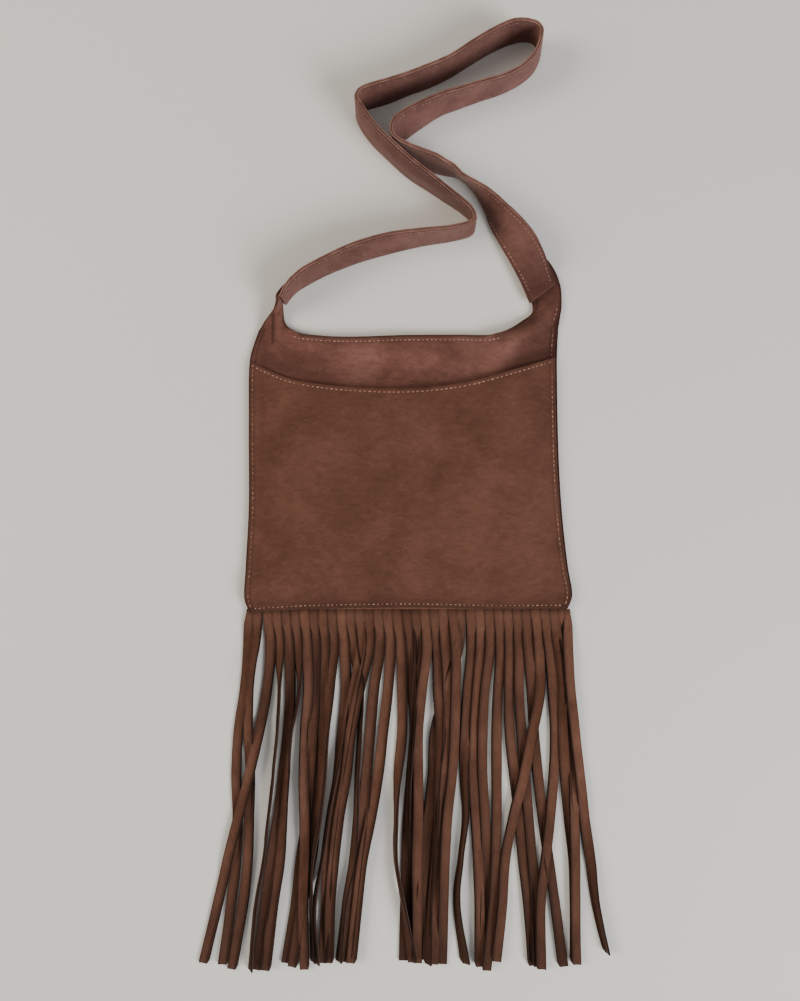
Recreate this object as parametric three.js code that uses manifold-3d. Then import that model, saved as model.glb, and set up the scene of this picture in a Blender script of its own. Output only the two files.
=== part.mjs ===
// A fringed suede shoulder bag lying face up, with its strap standing on edge in loose loops.
// Millimetres, +Z up, +X to the bag's right, +Y from the bag towards the strap.
// The origin is on the surface the bag lies on, near the middle of its whole length.

import * as THREE from 'three';
import { mergeVertices } from 'three/addons/utils/BufferGeometryUtils.js';
import Module from 'manifold-3d';

const wasm = await Module();
wasm.setup();

// Sheet thickness, and the gap left between two sheets that touch.
const SUEDE = 1.3;
const GAP = 0.3;
const LAYER = SUEDE + GAP;

// Heights of the sheets' mid-surfaces. The front panel rises off the flat back panel, and the
// pocket rises off the front panel, so that both can be filled.
const BACK_Z = SUEDE / 2;
const FRONT_SEAM_Z = BACK_Z + LAYER;
const FRONT_HEM_Z = FRONT_SEAM_Z + LAYER;
const FRONT_RISE = 5.8;
const POCKET_RISE = 5.0;

// The fringe: one strip, cut into strands below its header band.
const STRAND_PITCH = 7.55;
const STRAND_WIDTH = 6.8;
const FIRST_STRAND_X = -130.5;
const LAST_STRAND_X = 131;
const CUT_LINE_Y = -101.5;
const HEADER_TOP_Y = -92;
const HEADER_LEFT_X = -127.5;
const HEADER_RIGHT_X = 128.5;
const STRAND_OVERLAP = 2;
const STRAND_DROP = 30;
const STRAND_CELLS = 9;
const STRAND_LIFT = 0.1;
const STRAND_STATIONS = [0, 30, 65, 100, 135, 170, 205, 240];

// The strap: an outer strip and a lining, sewn along both edges.
const STRAP_WIDTH = 30;
const STRAP_END_WIDTH = 25;
const STRAP_TAPER = 0.055;
const STRAP_LENGTH = 850;
const STRAP_STEPS = 122;
const STRAP_CELLS_ACROSS = 3;
const STRAP_LAYER_OUT = LAYER / 2 + 0.05;
const STRAP_LINING_INSET = 0.3;
const STRAP_END_SLANT = 0.0055;
const STRAP_SLANT_REACH = 0.05;

// Sewing thread, drawn as a flat line over the stitch holes.
const THREAD_WIDTH = 0.9;
const THREAD_THICKNESS = 0.5;
const THREAD_LIFT = SUEDE / 2 + GAP + THREAD_THICKNESS / 2;
const STRAP_THREAD_OUT = STRAP_LAYER_OUT + THREAD_LIFT + 0.35;
const STRAP_STITCH_INSET = 3;
const HEM_STITCH_INSET = 0.015;
const MOUTH_STITCH_INSET = 0.018;
const BOTTOM_STITCH_INSET = 0.017;
const LEFT_STITCH_INSET = 0.017;
const RIGHT_STITCH_INSET = 0.0195;

// The share of a body sheet along each seam that stays flat, and the lengths over which the
// front panel comes down from the fringe's header to the side seams.
const SEAM_SHARE = 0.04;
const HEADER_SHARE = 0.08;
const HEADER_END_SHARE = 0.18;

const vec = (x, y, z = 0) => new THREE.Vector3(x, y, z);
const lerp = THREE.MathUtils.lerp;
const smooth = THREE.MathUtils.smoothstep;

const suede = (color) => new THREE.MeshStandardMaterial({ color, roughness: 0.95, metalness: 0 });
const MATERIALS = {
  panel: suede(0x7d5244),
  pocket: suede(0x6e4834),
  fringe: suede(0x63402f),
  strap: suede(0x85564a),
  lining: suede(0x74503f),
  thread: suede(0xbe8c73),
};

// A smooth curve through a few points, read as point(t) for t from 0 to 1. An outline is read by
// its length, and a route by its stations.
const spline = (points) => new THREE.CatmullRomCurve3(points.map((p) => vec(...p)), false, 'centripetal');

function outline(points) {
  const curve = spline(points);
  return (t) => curve.getPointAt(THREE.MathUtils.clamp(t, 0, 1));
}

function route(points) {
  const curve = spline(points);
  return (t) => curve.getPoint(THREE.MathUtils.clamp(t, 0, 1));
}

// A number on a smooth curve through evenly spaced values.
function profile(values) {
  return (t) => {
    const place = THREE.MathUtils.clamp(t, 0, 1) * (values.length - 1);
    const index = Math.min(Math.floor(place), values.length - 2);
    const part = place - index;
    const [here, there] = [values[index], values[index + 1]];
    const before = values[Math.max(index - 1, 0)];
    const after = values[Math.min(index + 2, values.length - 1)];
    const bend = (there - before) * (1 - part) - (after - here) * part;
    return lerp(here, there, smooth(part, 0, 1)) + (part * (1 - part) * bend) / 2;
  };
}

// A closed sheet from a grid of mid-surface points. rows[j][i] is a point or null, and a cell is
// filled where its four corners exist. Faces point out, and the free edges get side walls.
function sheet(rows, thickness = SUEDE) {
  const height = rows.length;
  const width = rows[0].length;
  const at = (i, j) => (rows[j] && rows[j][i]) || null;
  const filled = (i, j) => at(i, j) && at(i + 1, j) && at(i, j + 1) && at(i + 1, j + 1);
  const normalAt = (i, j) => {
    const across = vec(0, 0).subVectors(at(i + 1, j) || at(i, j), at(i - 1, j) || at(i, j));
    const along = vec(0, 0).subVectors(at(i, j + 1) || at(i, j), at(i, j - 1) || at(i, j));
    return across.cross(along).normalize();
  };
  const positions = [];
  const index = new Map();
  for (let j = 0; j < height; j += 1) {
    for (let i = 0; i < width; i += 1) {
      if (at(i, j)) {
        const normal = normalAt(i, j);
        index.set(`${i},${j}`, positions.length / 3);
        for (const side of [0.5, -0.5]) {
          const point = at(i, j).clone().addScaledVector(normal, side * thickness);
          positions.push(point.x, point.y, point.z);
        }
      }
    }
  }
  const triangles = [];
  const quad = (a, b, c, d) => triangles.push(a, b, c, a, c, d);
  for (let j = 0; j < height - 1; j += 1) {
    for (let i = 0; i < width - 1; i += 1) {
      if (filled(i, j)) {
        const [a, b] = [index.get(`${i},${j}`), index.get(`${i + 1},${j}`)];
        const [c, d] = [index.get(`${i + 1},${j + 1}`), index.get(`${i},${j + 1}`)];
        quad(a, b, c, d);
        quad(a + 1, d + 1, c + 1, b + 1);
        if (j === 0 || !filled(i, j - 1)) quad(a, a + 1, b + 1, b);
        if (i === width - 2 || !filled(i + 1, j)) quad(b, b + 1, c + 1, c);
        if (j === height - 2 || !filled(i, j + 1)) quad(c, c + 1, d + 1, d);
        if (i === 0 || !filled(i - 1, j)) quad(d, d + 1, a + 1, a);
      }
    }
  }
  const geometry = new THREE.BufferGeometry();
  geometry.setAttribute('position', new THREE.Float32BufferAttribute(positions, 3));
  geometry.setIndex(triangles);
  return geometry;
}

// Evenly spaced numbers from 0 to 1.
const evenly = (steps) => Array.from({ length: steps + 1 }, (_, step) => step / steps);

// A thread along a route: a narrow ribbon laid on a surface. place(t, shift) gives its points.
function thread(place, stations) {
  const half = THREAD_WIDTH / 2;
  return sheet(stations.map((t) => [place(t, -half), place(t, half)]), THREAD_THICKNESS);
}

function toSolid(geometry) {
  const merged = mergeVertices(geometry, 1e-4);
  return new wasm.Manifold(new wasm.Mesh({
    numProp: 3,
    vertProperties: new Float32Array(merged.attributes.position.array),
    triVerts: new Uint32Array(merged.index.array),
  }));
}

function toGeometry(solid) {
  const mesh = solid.getMesh();
  const geometry = new THREE.BufferGeometry();
  geometry.setAttribute('position', new THREE.BufferAttribute(new Float32Array(mesh.vertProperties), 3));
  geometry.setIndex(new THREE.BufferAttribute(new Uint32Array(mesh.triVerts), 1));
  return geometry;
}

// ---- The bag's body -------------------------------------------------------------------------

const leftSide = outline([[-130, -104], [-134, -94], [-133, -67], [-130.5, -19], [-130.5, 52],
  [-129.5, 103], [-126, 116], [-122, 127]]);
const rightSide = outline([[131, -101], [134.5, -91], [131, -67], [126.5, -27], [123.5, 20],
  [122, 90], [122, 106], [123, 128]]);
const bottomEdge = outline([[-130, -104], [-81, -101], [0, -99.5], [75, -101], [107, -101], [131, -101]]);
const topRow = outline([[-122, 127], [-94, 125.2], [-88, 123], [-72, 121], [-52, 120], [0, 121.5], [40, 121.8],
  [66, 121.6], [74, 123], [100, 126.5], [123, 128]]);
const pocketHem = outline([[-130, 103], [-98, 88], [-69, 82], [-22, 78.5], [9, 79], [48, 84],
  [86, 94.5], [121.5, 106]]);
const POCKET_LEFT_SHARE = 0.885;
const POCKET_RIGHT_SHARE = 0.9;
const pocketLeft = (t) => leftSide(t * POCKET_LEFT_SHARE);
const pocketRight = (t) => rightSide(t * POCKET_RIGHT_SHARE);

// A patch filled between its four edges, in plan.
function patch(bottom, top, left, right) {
  return (u, v) => {
    const point = bottom(u).multiplyScalar(1 - v).addScaledVector(top(u), v);
    point.addScaledVector(left(v), 1 - u).addScaledVector(right(v), u);
    point.addScaledVector(bottom(0), -(1 - u) * (1 - v)).addScaledVector(bottom(1), -u * (1 - v));
    return point.addScaledVector(top(0), -(1 - u) * v).addScaledVector(top(1), -u * v);
  };
}

const bodyPlan = patch(bottomEdge, topRow, leftSide, rightSide);
const pocketPlan = patch(bottomEdge, pocketHem, pocketLeft, pocketRight);
const POCKET_TOP_V = 0.85;
const POCKET_SEAM_LIFT = LAYER + 0.35;

// How far a filled sheet rises, from 0 on the flat side and bottom seams to 1 inside them.
function rise(u, v) {
  const fromMiddle = Math.min(1, Math.abs(2 * u - 1) / (1 - 2 * SEAM_SHARE));
  const fromBottom = Math.max(0, (v - SEAM_SHARE) / (1 - SEAM_SHARE));
  return (1 - fromMiddle ** 5) * (1 - (1 - fromBottom) ** 8);
}

function frontZ(u, v) {
  return lerp(FRONT_HEM_Z, FRONT_SEAM_Z, smooth(v, HEADER_SHARE, HEADER_END_SHARE)) + FRONT_RISE * rise(u, v);
}

function frontPoint(u, v, lift = 0) {
  const point = bodyPlan(u, v);
  return point.setZ(frontZ(u, v) + lift);
}

function pocketPoint(u, v, lift = 0) {
  const point = pocketPlan(u, v);
  return point.setZ(frontZ(u, v * POCKET_TOP_V) + POCKET_SEAM_LIFT + POCKET_RISE * rise(u, v) + lift);
}

// ---- The strap's route ------------------------------------------------------------------------

// Each station is the lower edge of the strap: x, y, z, and its lean in degrees. At a lean of 0
// the strap lies flat, and at 90 it stands on its edge. The route runs from the right tab, over
// a half turn, round a hairpin and the far loop, back past a sharp bend and a second turn, and
// to the left tab.
const STRAP_ROUTE = [
  [99, 147.5, 5, 0], [91.5, 164.5, 5, 3], [84.5, 179, 4.5, 27], [78.5, 190.5, 3.8, 42],
  [72.5, 202, 2.9, 54], [68, 211.5, 2, 64], [64.5, 221, 1.4, 76], [60, 231, 0.8, 88],
  [54.5, 240.5, 0.5, 99], [47, 249, 0.5, 105], [39, 253.5, 0.5, 102], [30.5, 255, 0.5, 95],
  [21.5, 257, 0.5, 89], [10, 261.5, 0.5, 89], [0, 267, 0.5, 92], [-6, 272.5, 0.5, 97],
  [-8.5, 277.5, 0.5, 100], [-6.5, 281.5, 0.5, 103], [-1, 284.5, 0.5, 105], [9, 292, 0.5, 102],
  [25.5, 303, 0.5, 95], [42, 309.5, 0.5, 92], [58.5, 315.5, 0.5, 90], [75, 321, 0.5, 89],
  [90, 328.5, 0.5, 90], [99.5, 336, 0.5, 93], [104.5, 343.5, 0.5, 95], [107, 351, 0.5, 96],
  [106.5, 357.5, 0.5, 95], [102, 362.5, 0.5, 94], [95, 364, 0.5, 93], [83, 361.5, 0.5, 88],
  [66.5, 354.5, 0.5, 88], [50, 345, 0.5, 88], [33.5, 334.5, 0.5, 88], [17.5, 327, 0.5, 87],
  [1, 321, 0.5, 88], [-15.5, 314, 0.5, 85], [-31, 309.5, 0.5, 85], [-38, 307, 0.5, 87],
  [-41, 303, 0.5, 90], [-40.5, 298, 0.5, 94], [-37, 290.5, 0.5, 97], [-28, 278.5, 0.5, 97],
  [-13.5, 264.5, 0.5, 97], [2, 251, 0.5, 97], [18.5, 240.5, 0.5, 93], [35, 229.5, 0.5, 89],
  [44.5, 223, 0.5, 87], [50.5, 217.5, 0.5, 86], [53.5, 211.5, 0.5, 86], [52.5, 206.5, 0.5, 88],
  [47, 203.5, 0.5, 88], [34, 200.5, 0.5, 88], [10, 196.5, 0.5, 85], [-15, 190.5, 0.5, 80],
  [-40, 183.5, 0.5, 80], [-64.5, 174, 0.5, 83], [-81, 165.5, 0.5, 84], [-90.5, 160, 0.5, 87],
  [-96, 154.5, 0.6, 87], [-101, 148, 0.8, 90],
];
const strapLowerEdge = route(STRAP_ROUTE.map(([x, y, z]) => [x, y, z]));
const strapLean = profile(STRAP_ROUTE.map((station) => station[3]));

function strapWidth(t) {
  const fromEnd = Math.min(t, 1 - t) / STRAP_TAPER;
  return lerp(STRAP_END_WIDTH, STRAP_WIDTH, smooth(fromEnd, 0, 1));
}

// A point of the strap's mid-surface: t along it, and across from its lower edge.
function strapMiddle(t, across) {
  const step = 0.002;
  const forward = strapLowerEdge(t + step).sub(strapLowerEdge(t - step)).normalize();
  const lean = THREE.MathUtils.degToRad(strapLean(t));
  const rightHand = vec(forward.y, -forward.x).normalize();
  const upAcross = rightHand.multiplyScalar(Math.cos(lean)).add(vec(0, 0, Math.sin(lean)));
  return strapLowerEdge(t).addScaledVector(upAcross, across);
}

// The same point moved out along the strap's face.
function strapPoint(t, across, out) {
  const step = 0.003;
  const upAcross = strapMiddle(t, across + 1).sub(strapMiddle(t, across - 1));
  const forward = strapMiddle(Math.min(t + step, 1), across).sub(strapMiddle(Math.max(t - step, 0), across));
  return strapMiddle(t, across).addScaledVector(upAcross.cross(forward).normalize(), out);
}

function strapLayer(out, inset) {
  const margin = inset / STRAP_LENGTH;
  return sheet(evenly(STRAP_STEPS).map((step) => {
    const t = lerp(margin, 1 - margin, step);
    const slant = STRAP_END_SLANT * (1 - smooth(t, 0, STRAP_SLANT_REACH));
    return evenly(STRAP_CELLS_ACROSS).map((share) => (
      strapPoint(t + slant * share, lerp(inset, strapWidth(t) - inset, share), out)));
  }));
}

// ---- The panels with their tabs ---------------------------------------------------------------

const COLUMNS = [0, 0.03, 0.07, 0.12, 0.2, 0.3, 0.4, 0.5, 0.6, 0.68, 0.735, 0.782, 0.87, 0.97, 1];
const TAB_CELLS = 3;
const BODY_ROWS = [0, 0.03, 0.07, 0.12, 0.18, 0.28, 0.4, 0.52, 0.64, 0.76, 0.88, 1];
const POCKET_ROWS = [0, 0.03, 0.07, 0.13, 0.22, 0.34, 0.48, 0.62, 0.75, 0.88, 1];
const TAB_ROWS = 10;
const LEFT_TAB_TURN = 0.5;
const TAB_STEP = 0.02;

// The tabs' layers lie outside the strap's two, each a gap apart.
const FRONT_TAB_OUT = -(STRAP_LAYER_OUT + LAYER + 0.1);

// The right tab lies flat under the strap's end, at one height.
function rightTab(flatZ) {
  const mouthSide = (start) => outline([[start.x, start.y, start.z], [77, 124.2, lerp(start.z, flatZ, 0.2)],
    [84, 127.5, lerp(start.z, flatZ, 0.45)], [92, 132.8, lerp(start.z, flatZ, 0.7)], [99, 137.6, flatZ],
    [102.2, 142.5, flatZ], [101.5, 149, flatZ], [94, 170, flatZ], [89, 184, flatZ]]);
  const outside = (start) => outline([[start.x, start.y, start.z], [125, 141, flatZ], [125.5, 153, flatZ],
    [124.5, 163, flatZ], [119.5, 176, flatZ], [111, 188, flatZ]]);
  return (start, end) => {
    const [inner, outer] = [mouthSide(start), outside(end)];
    return (across, v) => inner(v).lerp(outer(v), across);
  };
}

// The left tab turns up on edge and then lies along the back of the strap's other end, where it
// narrows to a rounded tongue.
const HELD_START = 0.999;
const HELD_END = 0.958;
const HELD_HEIGHT = 21.5;
const TONGUE_HEIGHT = 12;

function leftTab(behind) {
  const held = (t, across) => strapPoint(t, across, FRONT_TAB_OUT);
  return (start, end) => {
    const outer = outline([start.toArray(), [-117, 133, 5], [-112, 138, 9], [-106.8, 142.6, 13.5],
      [-103.8, 146, 18], held(HELD_START, HELD_HEIGHT).toArray()]);
    const inner = outline([end.toArray(), [-97.2, 127.6, 5], [-100.4, 132, 3.6], [-102, 138, 2.2],
      held(HELD_START, 1).toArray()]);
    const middle = (across, v) => {
      const past = (v - LEFT_TAB_TURN) / (1 - LEFT_TAB_TURN);
      if (past < 0) return outer(v / LEFT_TAB_TURN).lerp(inner(v / LEFT_TAB_TURN), across);
      return held(lerp(HELD_START, HELD_END, past), lerp(lerp(HELD_HEIGHT, TONGUE_HEIGHT, past), 1, across));
    };
    return (across, v) => {
      const step = TAB_STEP;
      const acrossTab = middle(across + step, v).sub(middle(across - step, v));
      const alongTab = middle(across, v + step).sub(middle(across, v - step));
      return middle(across, v).addScaledVector(acrossTab.cross(alongTab).normalize(), -behind);
    };
  };
}

// A panel: the body's rows, then rows for the two tabs with nothing between them.
function panel(bodyPoint, left, right) {
  const rows = BODY_ROWS.map((v) => COLUMNS.map((u) => bodyPoint(u, v)));
  const last = COLUMNS.length - 1;
  const top = rows[rows.length - 1];
  const leftPoint = left(top[0], top[TAB_CELLS]);
  const rightPoint = right(top[last - TAB_CELLS], top[last]);
  for (let j = 1; j <= TAB_ROWS; j += 1) {
    const row = COLUMNS.map(() => null);
    for (let i = 0; i <= TAB_CELLS; i += 1) {
      row[i] = leftPoint(i / TAB_CELLS, j / TAB_ROWS);
      row[last - TAB_CELLS + i] = rightPoint(i / TAB_CELLS, j / TAB_ROWS);
    }
    rows.push(row);
  }
  return sheet(rows);
}

// The front panel's and the pocket's edges lie a little inside the back panel's.
const FRONT_EDGES = [0.004, 0.9915];
const POCKET_EDGES = [0.006, 0.9905];

function backPanel() {
  return panel((u, v) => bodyPlan(u, v).setZ(BACK_Z), leftTab(LAYER + 0.15), rightTab(BACK_Z));
}

function frontPanel() {
  return panel((u, v) => frontPoint(lerp(...FRONT_EDGES, u), v), leftTab(0), rightTab(FRONT_SEAM_Z));
}

function frontPocket() {
  return sheet(POCKET_ROWS.map((v) => COLUMNS.map((u) => pocketPoint(lerp(...POCKET_EDGES, u), v))));
}

// ---- The fringe ---------------------------------------------------------------------------------

// Each strand: how many strands it lies over, its length, then its sideways drift at each station
// and at the tip.
const FRINGE = [
  [0, 291, [-1, -4, -9, -11, -10, -11, -15, -22]],
  [0, 295, [-2, -6, -8, -7, -8, -9, -13, -22]],
  [1, 290, [2, -1, -7, -15, -24, -33, -41, -53]],
  [0, 295, [2, 3, 1, -2, -6, -10, -16, -21]],
  [0, 294, [2, 3, 1, -3, -7, -12, -17, -24]],
  [0, 294, [2, 4, -2, -6, -9, -12, -18, -24]],
  [1, 294, [2, 3, 0, -1, 0, 0, -1, 0]],
  [0, 290, [1, 1, -1, -3, -6, -11, -15, -23]],
  [0, 292, [1, 0, -1, -2, -6, -10, -17, -25]],
  [0, 288, [1, -2, -4, -5, -9, -15, -16, -15]],
  [1, 288, [2, 3, 0, -4, -10, -15, -21, -19]],
  [0, 288, [2, 8, 8, 6, 5, 2, -4, -9]],
  [1, 288, [1, -5, -11, -17, -22, -26, -28, -30]],
  [2, 288, [0, -8, -15, -19, -25, -29, -32, -33]],
  [1, 288, [1, -4, -7, -10, -13, -17, -21, -26]],
  [2, 288, [2, 0, -4, -8, -14, -21, -25, -30]],
  [1, 288, [3, 4, 4, 1, 0, 0, 6, 13]],
  [0, 288, [4, 5, 6, 3, 1, 0, -1, -2]],
  [0, 288, [4, 2, 1, 0, -1, 0, 1, 1]],
  [1, 288, [3, -1, -4, -4, -4, -5, -5, -5]],
  [1, 288, [4, 5, 7, 4, 3, 1, -3, -4]],
  [1, 289, [3, 5, 5, 2, -1, -3, -5, -7]],
  [1, 291, [4, 4, 3, 1, -3, -5, -6, -7]],
  [0, 286, [-1, -10, -20, -22, -26, -29, -32, -32]],
  [0, 290, [2, -1, -3, -4, -3, -7, -10, -3]],
  [1, 292, [2, -1, -3, -4, -2, 0, 1, 1]],
  [0, 290, [2, -2, -4, -4, -2, -1, -2, -4]],
  [2, 294, [3, 1, 0, 0, 0, -1, -3, -9]],
  [0, 292, [3, 2, 3, 7, 11, 14, 18, 22]],
  [0, 292, [3, 3, 5, 8, 11, 14, 17, 18]],
  [0, 293, [3, 6, 8, 11, 15, 20, 25, 32]],
  [2, 287, [4, 5, -1, -8, -17, -23, -26, -31]],
  [1, 293, [5, 8, 10, 9, 6, 2, -2, -2]],
  [0, 290, [5, 8, 9, 11, 14, 18, 19, 19]],
  [1, 290, [3, 6, 8, 10, 10, 11, 11, 12]],
  [2, 281, [0, 2, 6, 10, 14, 19, 23, 32]],
];

function strandGeometry([over, length, drift], number) {
  const rootX = Math.min(FIRST_STRAND_X + STRAND_PITCH * number, LAST_STRAND_X);
  const laidZ = SUEDE / 2 + over * (SUEDE + STRAND_LIFT);
  const rootY = CUT_LINE_Y + STRAND_OVERLAP;
  const stations = [...STRAND_STATIONS, length];
  const middle = route(stations.map((distance, station) => {
    const sideways = station === 0 ? 0 : drift[station - 1];
    const z = lerp(FRONT_SEAM_Z, laidZ, smooth(distance, 0, STRAND_DROP));
    return [rootX + sideways, rootY - distance, z];
  }));
  const half = STRAND_WIDTH / 2;
  const step = 0.01;
  const edge = (side) => (t) => {
    const along = middle(t - step).sub(middle(t + step)).normalize();
    return middle(t).add(vec(along.y, -along.x).multiplyScalar(side * half));
  };
  return sheet(evenly(STRAND_CELLS).map((t) => [edge(-1)(1 - t), edge(1)(1 - t)]));
}

function fringe() {
  const header = sheet([CUT_LINE_Y, HEADER_TOP_Y].map((y) => (
    [HEADER_LEFT_X, HEADER_RIGHT_X].map((x) => vec(x, y, FRONT_SEAM_Z)))));
  const strands = FRINGE.map(strandGeometry).map(toSolid);
  return toGeometry(strands.reduce((all, one) => all.add(one), toSolid(header)));
}

// ---- The sewing thread --------------------------------------------------------------------------

const BODY_LENGTH = 220;
const BODY_WIDTH = 256;
const POCKET_LENGTH = 185;
const SEAM_COLUMNS = [0.03, 0.97];
const MOUTH_COLUMNS = [0.12, 0.782];
const YOKE_ROWS = [0.93, 0.96, 0.99];

// The columns between two places, from right to left, so that a thread's outer side faces up.
const columnsBetween = (first, last) => COLUMNS.filter((u) => u >= first && u <= last).reverse();

function pocketHemThread() {
  const place = (u, shift) => pocketPoint(u, 1 - HEM_STITCH_INSET + shift / POCKET_LENGTH, THREAD_LIFT);
  return thread(place, columnsBetween(...SEAM_COLUMNS));
}

function mouthHemThread() {
  const place = (u, shift) => frontPoint(u, 1 - MOUTH_STITCH_INSET + shift / BODY_LENGTH, THREAD_LIFT);
  return thread(place, columnsBetween(...MOUTH_COLUMNS));
}

function bottomSeamThread() {
  const place = (u, shift) => pocketPoint(u, BOTTOM_STITCH_INSET + shift / POCKET_LENGTH, THREAD_LIFT);
  return thread(place, columnsBetween(...SEAM_COLUMNS));
}

function pocketSeamThread(u) {
  const place = (v, shift) => pocketPoint(u + shift / BODY_WIDTH, v, THREAD_LIFT);
  return thread(place, POCKET_ROWS.slice(1, -1));
}

function yokeSeamThread() {
  const place = (v, shift) => frontPoint(1 - RIGHT_STITCH_INSET + shift / BODY_WIDTH, v, THREAD_LIFT);
  return thread(place, YOKE_ROWS);
}

function strapThread(side) {
  const across = (t) => (side < 0 ? STRAP_STITCH_INSET : strapWidth(t) - STRAP_STITCH_INSET);
  const place = (t, shift) => strapPoint(t, across(t) + shift, STRAP_THREAD_OUT);
  return thread(place, evenly(STRAP_STEPS).slice(1, -1));
}

// ---- The whole bag ------------------------------------------------------------------------------

const bag = new THREE.Group();

function add(name, geometry, material) {
  const flat = geometry.index ? geometry.toNonIndexed() : geometry;
  flat.computeVertexNormals();
  const mesh = new THREE.Mesh(flat, material);
  mesh.name = name;
  bag.add(mesh);
}

add('back_panel', backPanel(), MATERIALS.panel);
add('front_panel', frontPanel(), MATERIALS.panel);
add('front_pocket', frontPocket(), MATERIALS.pocket);
add('fringe', fringe(), MATERIALS.fringe);
add('strap_outer', strapLayer(STRAP_LAYER_OUT, 0), MATERIALS.strap);
add('strap_lining', strapLayer(-STRAP_LAYER_OUT, STRAP_LINING_INSET), MATERIALS.lining);
add('pocket_hem_thread', pocketHemThread(), MATERIALS.thread);
add('mouth_hem_thread', mouthHemThread(), MATERIALS.thread);
add('bottom_seam_thread', bottomSeamThread(), MATERIALS.thread);
add('left_seam_thread', pocketSeamThread(LEFT_STITCH_INSET), MATERIALS.thread);
add('right_seam_thread', pocketSeamThread(1 - RIGHT_STITCH_INSET), MATERIALS.thread);
add('yoke_seam_thread', yokeSeamThread(), MATERIALS.thread);
add('strap_lower_thread', strapThread(-1), MATERIALS.thread);
add('strap_upper_thread', strapThread(1), MATERIALS.thread);

export default bag;
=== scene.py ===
import math
import random
from bisect import bisect_right

import bmesh
import bpy
from mathutils import Matrix, Vector, noise


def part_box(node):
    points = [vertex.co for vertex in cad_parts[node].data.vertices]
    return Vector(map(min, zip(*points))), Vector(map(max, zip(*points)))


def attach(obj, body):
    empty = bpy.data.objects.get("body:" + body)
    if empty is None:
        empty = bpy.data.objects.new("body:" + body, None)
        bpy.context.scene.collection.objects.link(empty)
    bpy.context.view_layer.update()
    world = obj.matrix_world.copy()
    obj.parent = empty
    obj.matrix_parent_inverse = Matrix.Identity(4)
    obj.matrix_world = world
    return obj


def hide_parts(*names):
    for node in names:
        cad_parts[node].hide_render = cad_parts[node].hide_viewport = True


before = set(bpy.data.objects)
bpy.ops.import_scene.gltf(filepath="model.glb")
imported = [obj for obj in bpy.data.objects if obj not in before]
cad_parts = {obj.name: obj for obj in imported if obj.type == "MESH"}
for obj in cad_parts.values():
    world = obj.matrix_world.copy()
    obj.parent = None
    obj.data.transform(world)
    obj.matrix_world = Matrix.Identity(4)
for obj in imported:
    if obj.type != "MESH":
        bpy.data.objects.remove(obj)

mm = 0.001
random.seed(7)
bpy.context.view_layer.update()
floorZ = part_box("back_panel")[0][2] / mm
scene = bpy.context.scene
print("frame loaded")

# ---- camera: straight above the middle of the bag
camera = {"height": 620, "x": -6.6, "y": -12.7, "longSide": 821.6, "sensor": 36}
cameraData = bpy.data.cameras.new("camera")
cameraData.sensor_width = camera["sensor"]
cameraData.lens = camera["sensor"] * camera["height"] / camera["longSide"]
cameraObject = bpy.data.objects.new("camera", cameraData)
cameraObject.location = Vector((camera["x"], camera["y"], camera["height"])) * mm
scene.collection.objects.link(cameraObject)
scene.camera = cameraObject


# ---- numbers and curves, in millimetres
def mix(a, b, share):
    return a + (b - a) * share


def clamp(value, low=0.0, high=1.0):
    return min(max(value, low), high)


def ease(value, low=0.0, high=1.0):
    part = clamp((value - low) / (high - low))
    return part * part * (3 - 2 * part)


def hump(value, middle, reach):  # 1 at the middle, 0 past its reach
    return 1 - ease(abs(value - middle), 0, reach)


def wave(x, y, seed, size):  # a smooth random height from -1 to 1
    return noise.noise(Vector((x / size, y / size, seed * 7.3)))


def splinePoint(points, t):  # a centripetal curve through the points
    place = clamp(t) * (len(points) - 1)
    index = min(int(place), len(points) - 2)
    part = place - index
    here, there = points[index], points[index + 1]
    before = points[index - 1] if index else here * 2 - there
    after = points[index + 2] if index + 2 < len(points) else there * 2 - here
    spans = (before, here), (here, there), (there, after)
    g0, g1, g2 = [max((b - a).length ** 0.5, 1e-4) for a, b in spans]
    slopeHere = ((here - before) / g0 - (there - before) / (g0 + g1) + (there - here) / g1) * g1
    slopeThere = ((there - here) / g1 - (after - here) / (g1 + g2) + (after - there) / g2) * g1
    squared, cubed = part * part, part ** 3
    return (here * (2 * cubed - 3 * squared + 1) + slopeHere * (cubed - 2 * squared + part)
            + there * (3 * squared - 2 * cubed) + slopeThere * (cubed - squared))


def vectors(points):
    return [Vector((*point, 0)[:3]) for point in points]


def outline(points, samples=240):  # a curve read by its length, t from 0 to 1
    corners = vectors(points)
    dots = [splinePoint(corners, i / samples) for i in range(samples + 1)]
    lengths = [0.0]
    for a, b in zip(dots, dots[1:]):
        lengths.append(lengths[-1] + (b - a).length)
    known = {}

    def at(t):
        key = round(clamp(t), 5)
        if key not in known:
            goal = key * lengths[-1]
            index = min(bisect_right(lengths, goal), samples) - 1
            share = (goal - lengths[index]) / max(lengths[index + 1] - lengths[index], 1e-9)
            known[key] = dots[index].lerp(dots[index + 1], share)
        return known[key].copy()
    return at


def flowing(values, t):  # a number on a smooth curve through evenly spaced values
    place = clamp(t) * (len(values) - 1)
    index = min(int(place), len(values) - 2)
    part = place - index
    here, there = values[index], values[index + 1]
    before, after = values[max(index - 1, 0)], values[min(index + 2, len(values) - 1)]
    slopeHere, slopeThere = (there - before) / 2, (after - here) / 2
    bend = slopeHere * (1 - part) - slopeThere * part
    return mix(here, there, ease(part)) + part * (1 - part) * bend


def spread(part, gather=0.6):  # even steps gathered toward both ends
    return part - gather * math.sin(2 * math.pi * part) / (2 * math.pi)


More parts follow.
